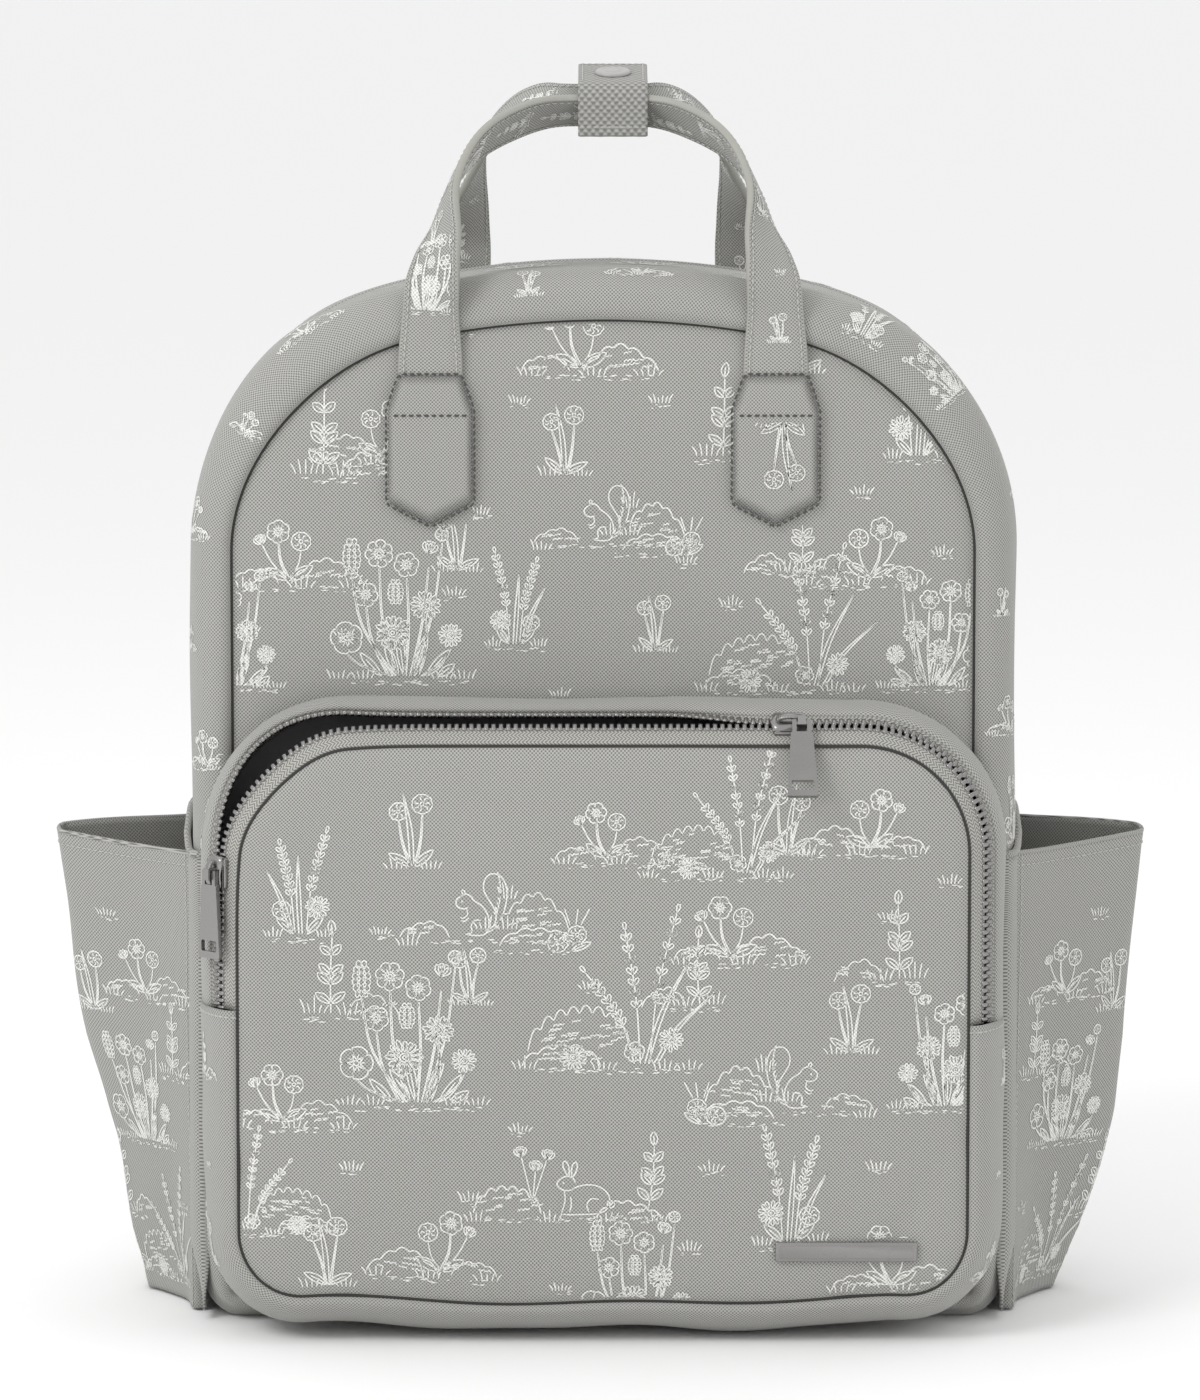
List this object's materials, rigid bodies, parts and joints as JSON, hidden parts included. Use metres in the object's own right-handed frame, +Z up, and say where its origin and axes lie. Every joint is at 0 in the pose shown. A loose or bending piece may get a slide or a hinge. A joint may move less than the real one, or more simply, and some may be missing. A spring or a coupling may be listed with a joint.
{
  "type": "backpack",
  "caption": "Arched canvas nappy backpack with a zipped box front pocket, flared side pockets, twin carry handles in a snap wrap, and padded shoulder straps.",
  "frame": {"origin": "centre of the flat base, on the floor", "axes": "+Z up, -Y out of the front pocket, +X to the viewer's right when the front is seen"},
  "size_m": [0.444, 0.252, 0.5035],
  "materials": {
    "canvas": "coarse woven canvas with a fine white line print",
    "handle_strap": "folded canvas strap with stitched edges",
    "webbing": "woven webbing",
    "zip_tape": "herringbone tape",
    "lining": "plain woven lining",
    "padding": "closed foam",
    "board": "matte",
    "buckle": "satin",
    "zip_teeth": "nickel",
    "nickel": "satin nickel",
    "snap_grey": "satin"
  },
  "bodies": {
    "body": {"back_foam_pad": "padding", "back_panel": "canvas", "back_yoke": "canvas", "badge_plate": "nickel", "base_board": "board", "base_panel": "canvas", "front_handle": "handle_strap", "front_panel_lower": "canvas", "lower_webbing_left": "webbing", "lower_webbing_right": "webbing", "main_lining": "lining", "main_zip_end_stops": "zip_teeth", "main_zip_front_ends": "zip_tape", "main_zip_tape_rear": "zip_tape", "main_zip_teeth_rear": "zip_teeth", "pocket_face_panel": "canvas", "pocket_gusset_lower": "canvas", "pocket_gusset_upper": "canvas", "pocket_lining": "lining", "pocket_zip_end_tabs": "canvas", "pocket_zip_tape_front": "zip_tape", "pocket_zip_tape_rear": "zip_tape", "pocket_zip_teeth_front": "zip_teeth", "pocket_zip_teeth_rear": "zip_teeth", "rear_handle": "handle_strap", "side_gusset_left": "canvas", "side_gusset_right": "canvas", "side_pocket_backing_left": "canvas", "side_pocket_backing_right": "canvas", "side_pocket_left": "canvas", "side_pocket_right": "canvas", "snap_stud": "nickel", "strap_anchor_left": "webbing", "strap_anchor_right": "webbing", "top_gusset_rear": "canvas", "wrap_under_layer": "webbing"},
    "flap": {"front_panel_upper": "canvas", "top_gusset_front": "canvas", "main_zip_tape_front": "zip_tape", "main_zip_teeth_front": "zip_teeth", "flap_lining": "lining", "handle_patch_left": "canvas", "handle_patch_right": "canvas"},
    "main_slider": {"main_slider": "nickel"},
    "main_pull": {"main_pull": "nickel"},
    "pocket_slider_left": {"pocket_slider_left": "nickel"},
    "pocket_pull_left": {"pocket_pull_left": "nickel"},
    "pocket_slider_right": {"pocket_slider_right": "nickel"},
    "pocket_pull_right": {"pocket_pull_right": "nickel"},
    "wrap_flap": {"wrap_top_flap": "webbing", "snap_socket": "nickel", "snap_cap": "snap_grey"},
    "strap_left": {"strap_pad_left": "canvas", "ladder_lock_left": "buckle", "lock_loop_left": "webbing", "webbing_tail_left": "webbing"},
    "strap_right": {"strap_pad_right": "canvas", "ladder_lock_right": "buckle", "lock_loop_right": "webbing", "webbing_tail_right": "webbing"}
  },
  "joints": [
    {"name": "flap_hinge", "type": "hinge", "parent": "body", "child": "flap", "pos_m": [0, -0.07, 0.2565], "axis": [1, 0, 0], "range_deg": [0, 14], "deforming": ["front_handle"]},
    {"name": "main_zip_slide", "type": "slide", "parent": "body", "child": "main_slider", "axis": [0, 0, 1], "range_m": [-0.0105, 0.0225]},
    {"name": "main_pull_hinge", "type": "hinge", "parent": "main_slider", "child": "main_pull", "pos_m": [0.1636, 0.036, 0.226], "axis": [0, -1, 0], "range_deg": [0, 150]},
    {"name": "pocket_left_slide", "type": "slide", "parent": "body", "child": "pocket_slider_left", "axis": [0, 0, 1], "range_m": [-0.04, 0]},
    {"name": "pocket_left_pull_hinge", "type": "hinge", "parent": "pocket_slider_left", "child": "pocket_pull_left", "pos_m": [-0.15468, -0.11253, 0.188], "axis": [-0.7071, 0.7071, 0], "range_deg": [0, 150]},
    {"name": "pocket_right_slide", "type": "slide", "parent": "body", "child": "pocket_slider_right", "axis": [1, 0, 0], "range_m": [-0.1, 0.02]},
    {"name": "pocket_right_pull_hinge", "type": "hinge", "parent": "pocket_slider_right", "child": "pocket_pull_right", "pos_m": [0.0779, -0.11437, 0.24784], "axis": [-1, 0, 0], "range_deg": [0, 120]},
    {"name": "wrap_hinge", "type": "hinge", "parent": "body", "child": "wrap_flap", "pos_m": [0.004, -0.0233, 0.4748], "axis": [1, 0, 0], "range_deg": [0, 140]},
    {"name": "strap_left_hinge", "type": "hinge", "parent": "body", "child": "strap_left", "pos_m": [-0.062, 0.0735, 0.3488], "axis": [1, 0, 0], "range_deg": [0, 14], "deforming": ["lower_webbing_left"]},
    {"name": "strap_right_hinge", "type": "hinge", "parent": "body", "child": "strap_right", "pos_m": [0.062, 0.0735, 0.3488], "axis": [1, 0, 0], "range_deg": [0, 14], "deforming": ["lower_webbing_right"]}
  ]
}
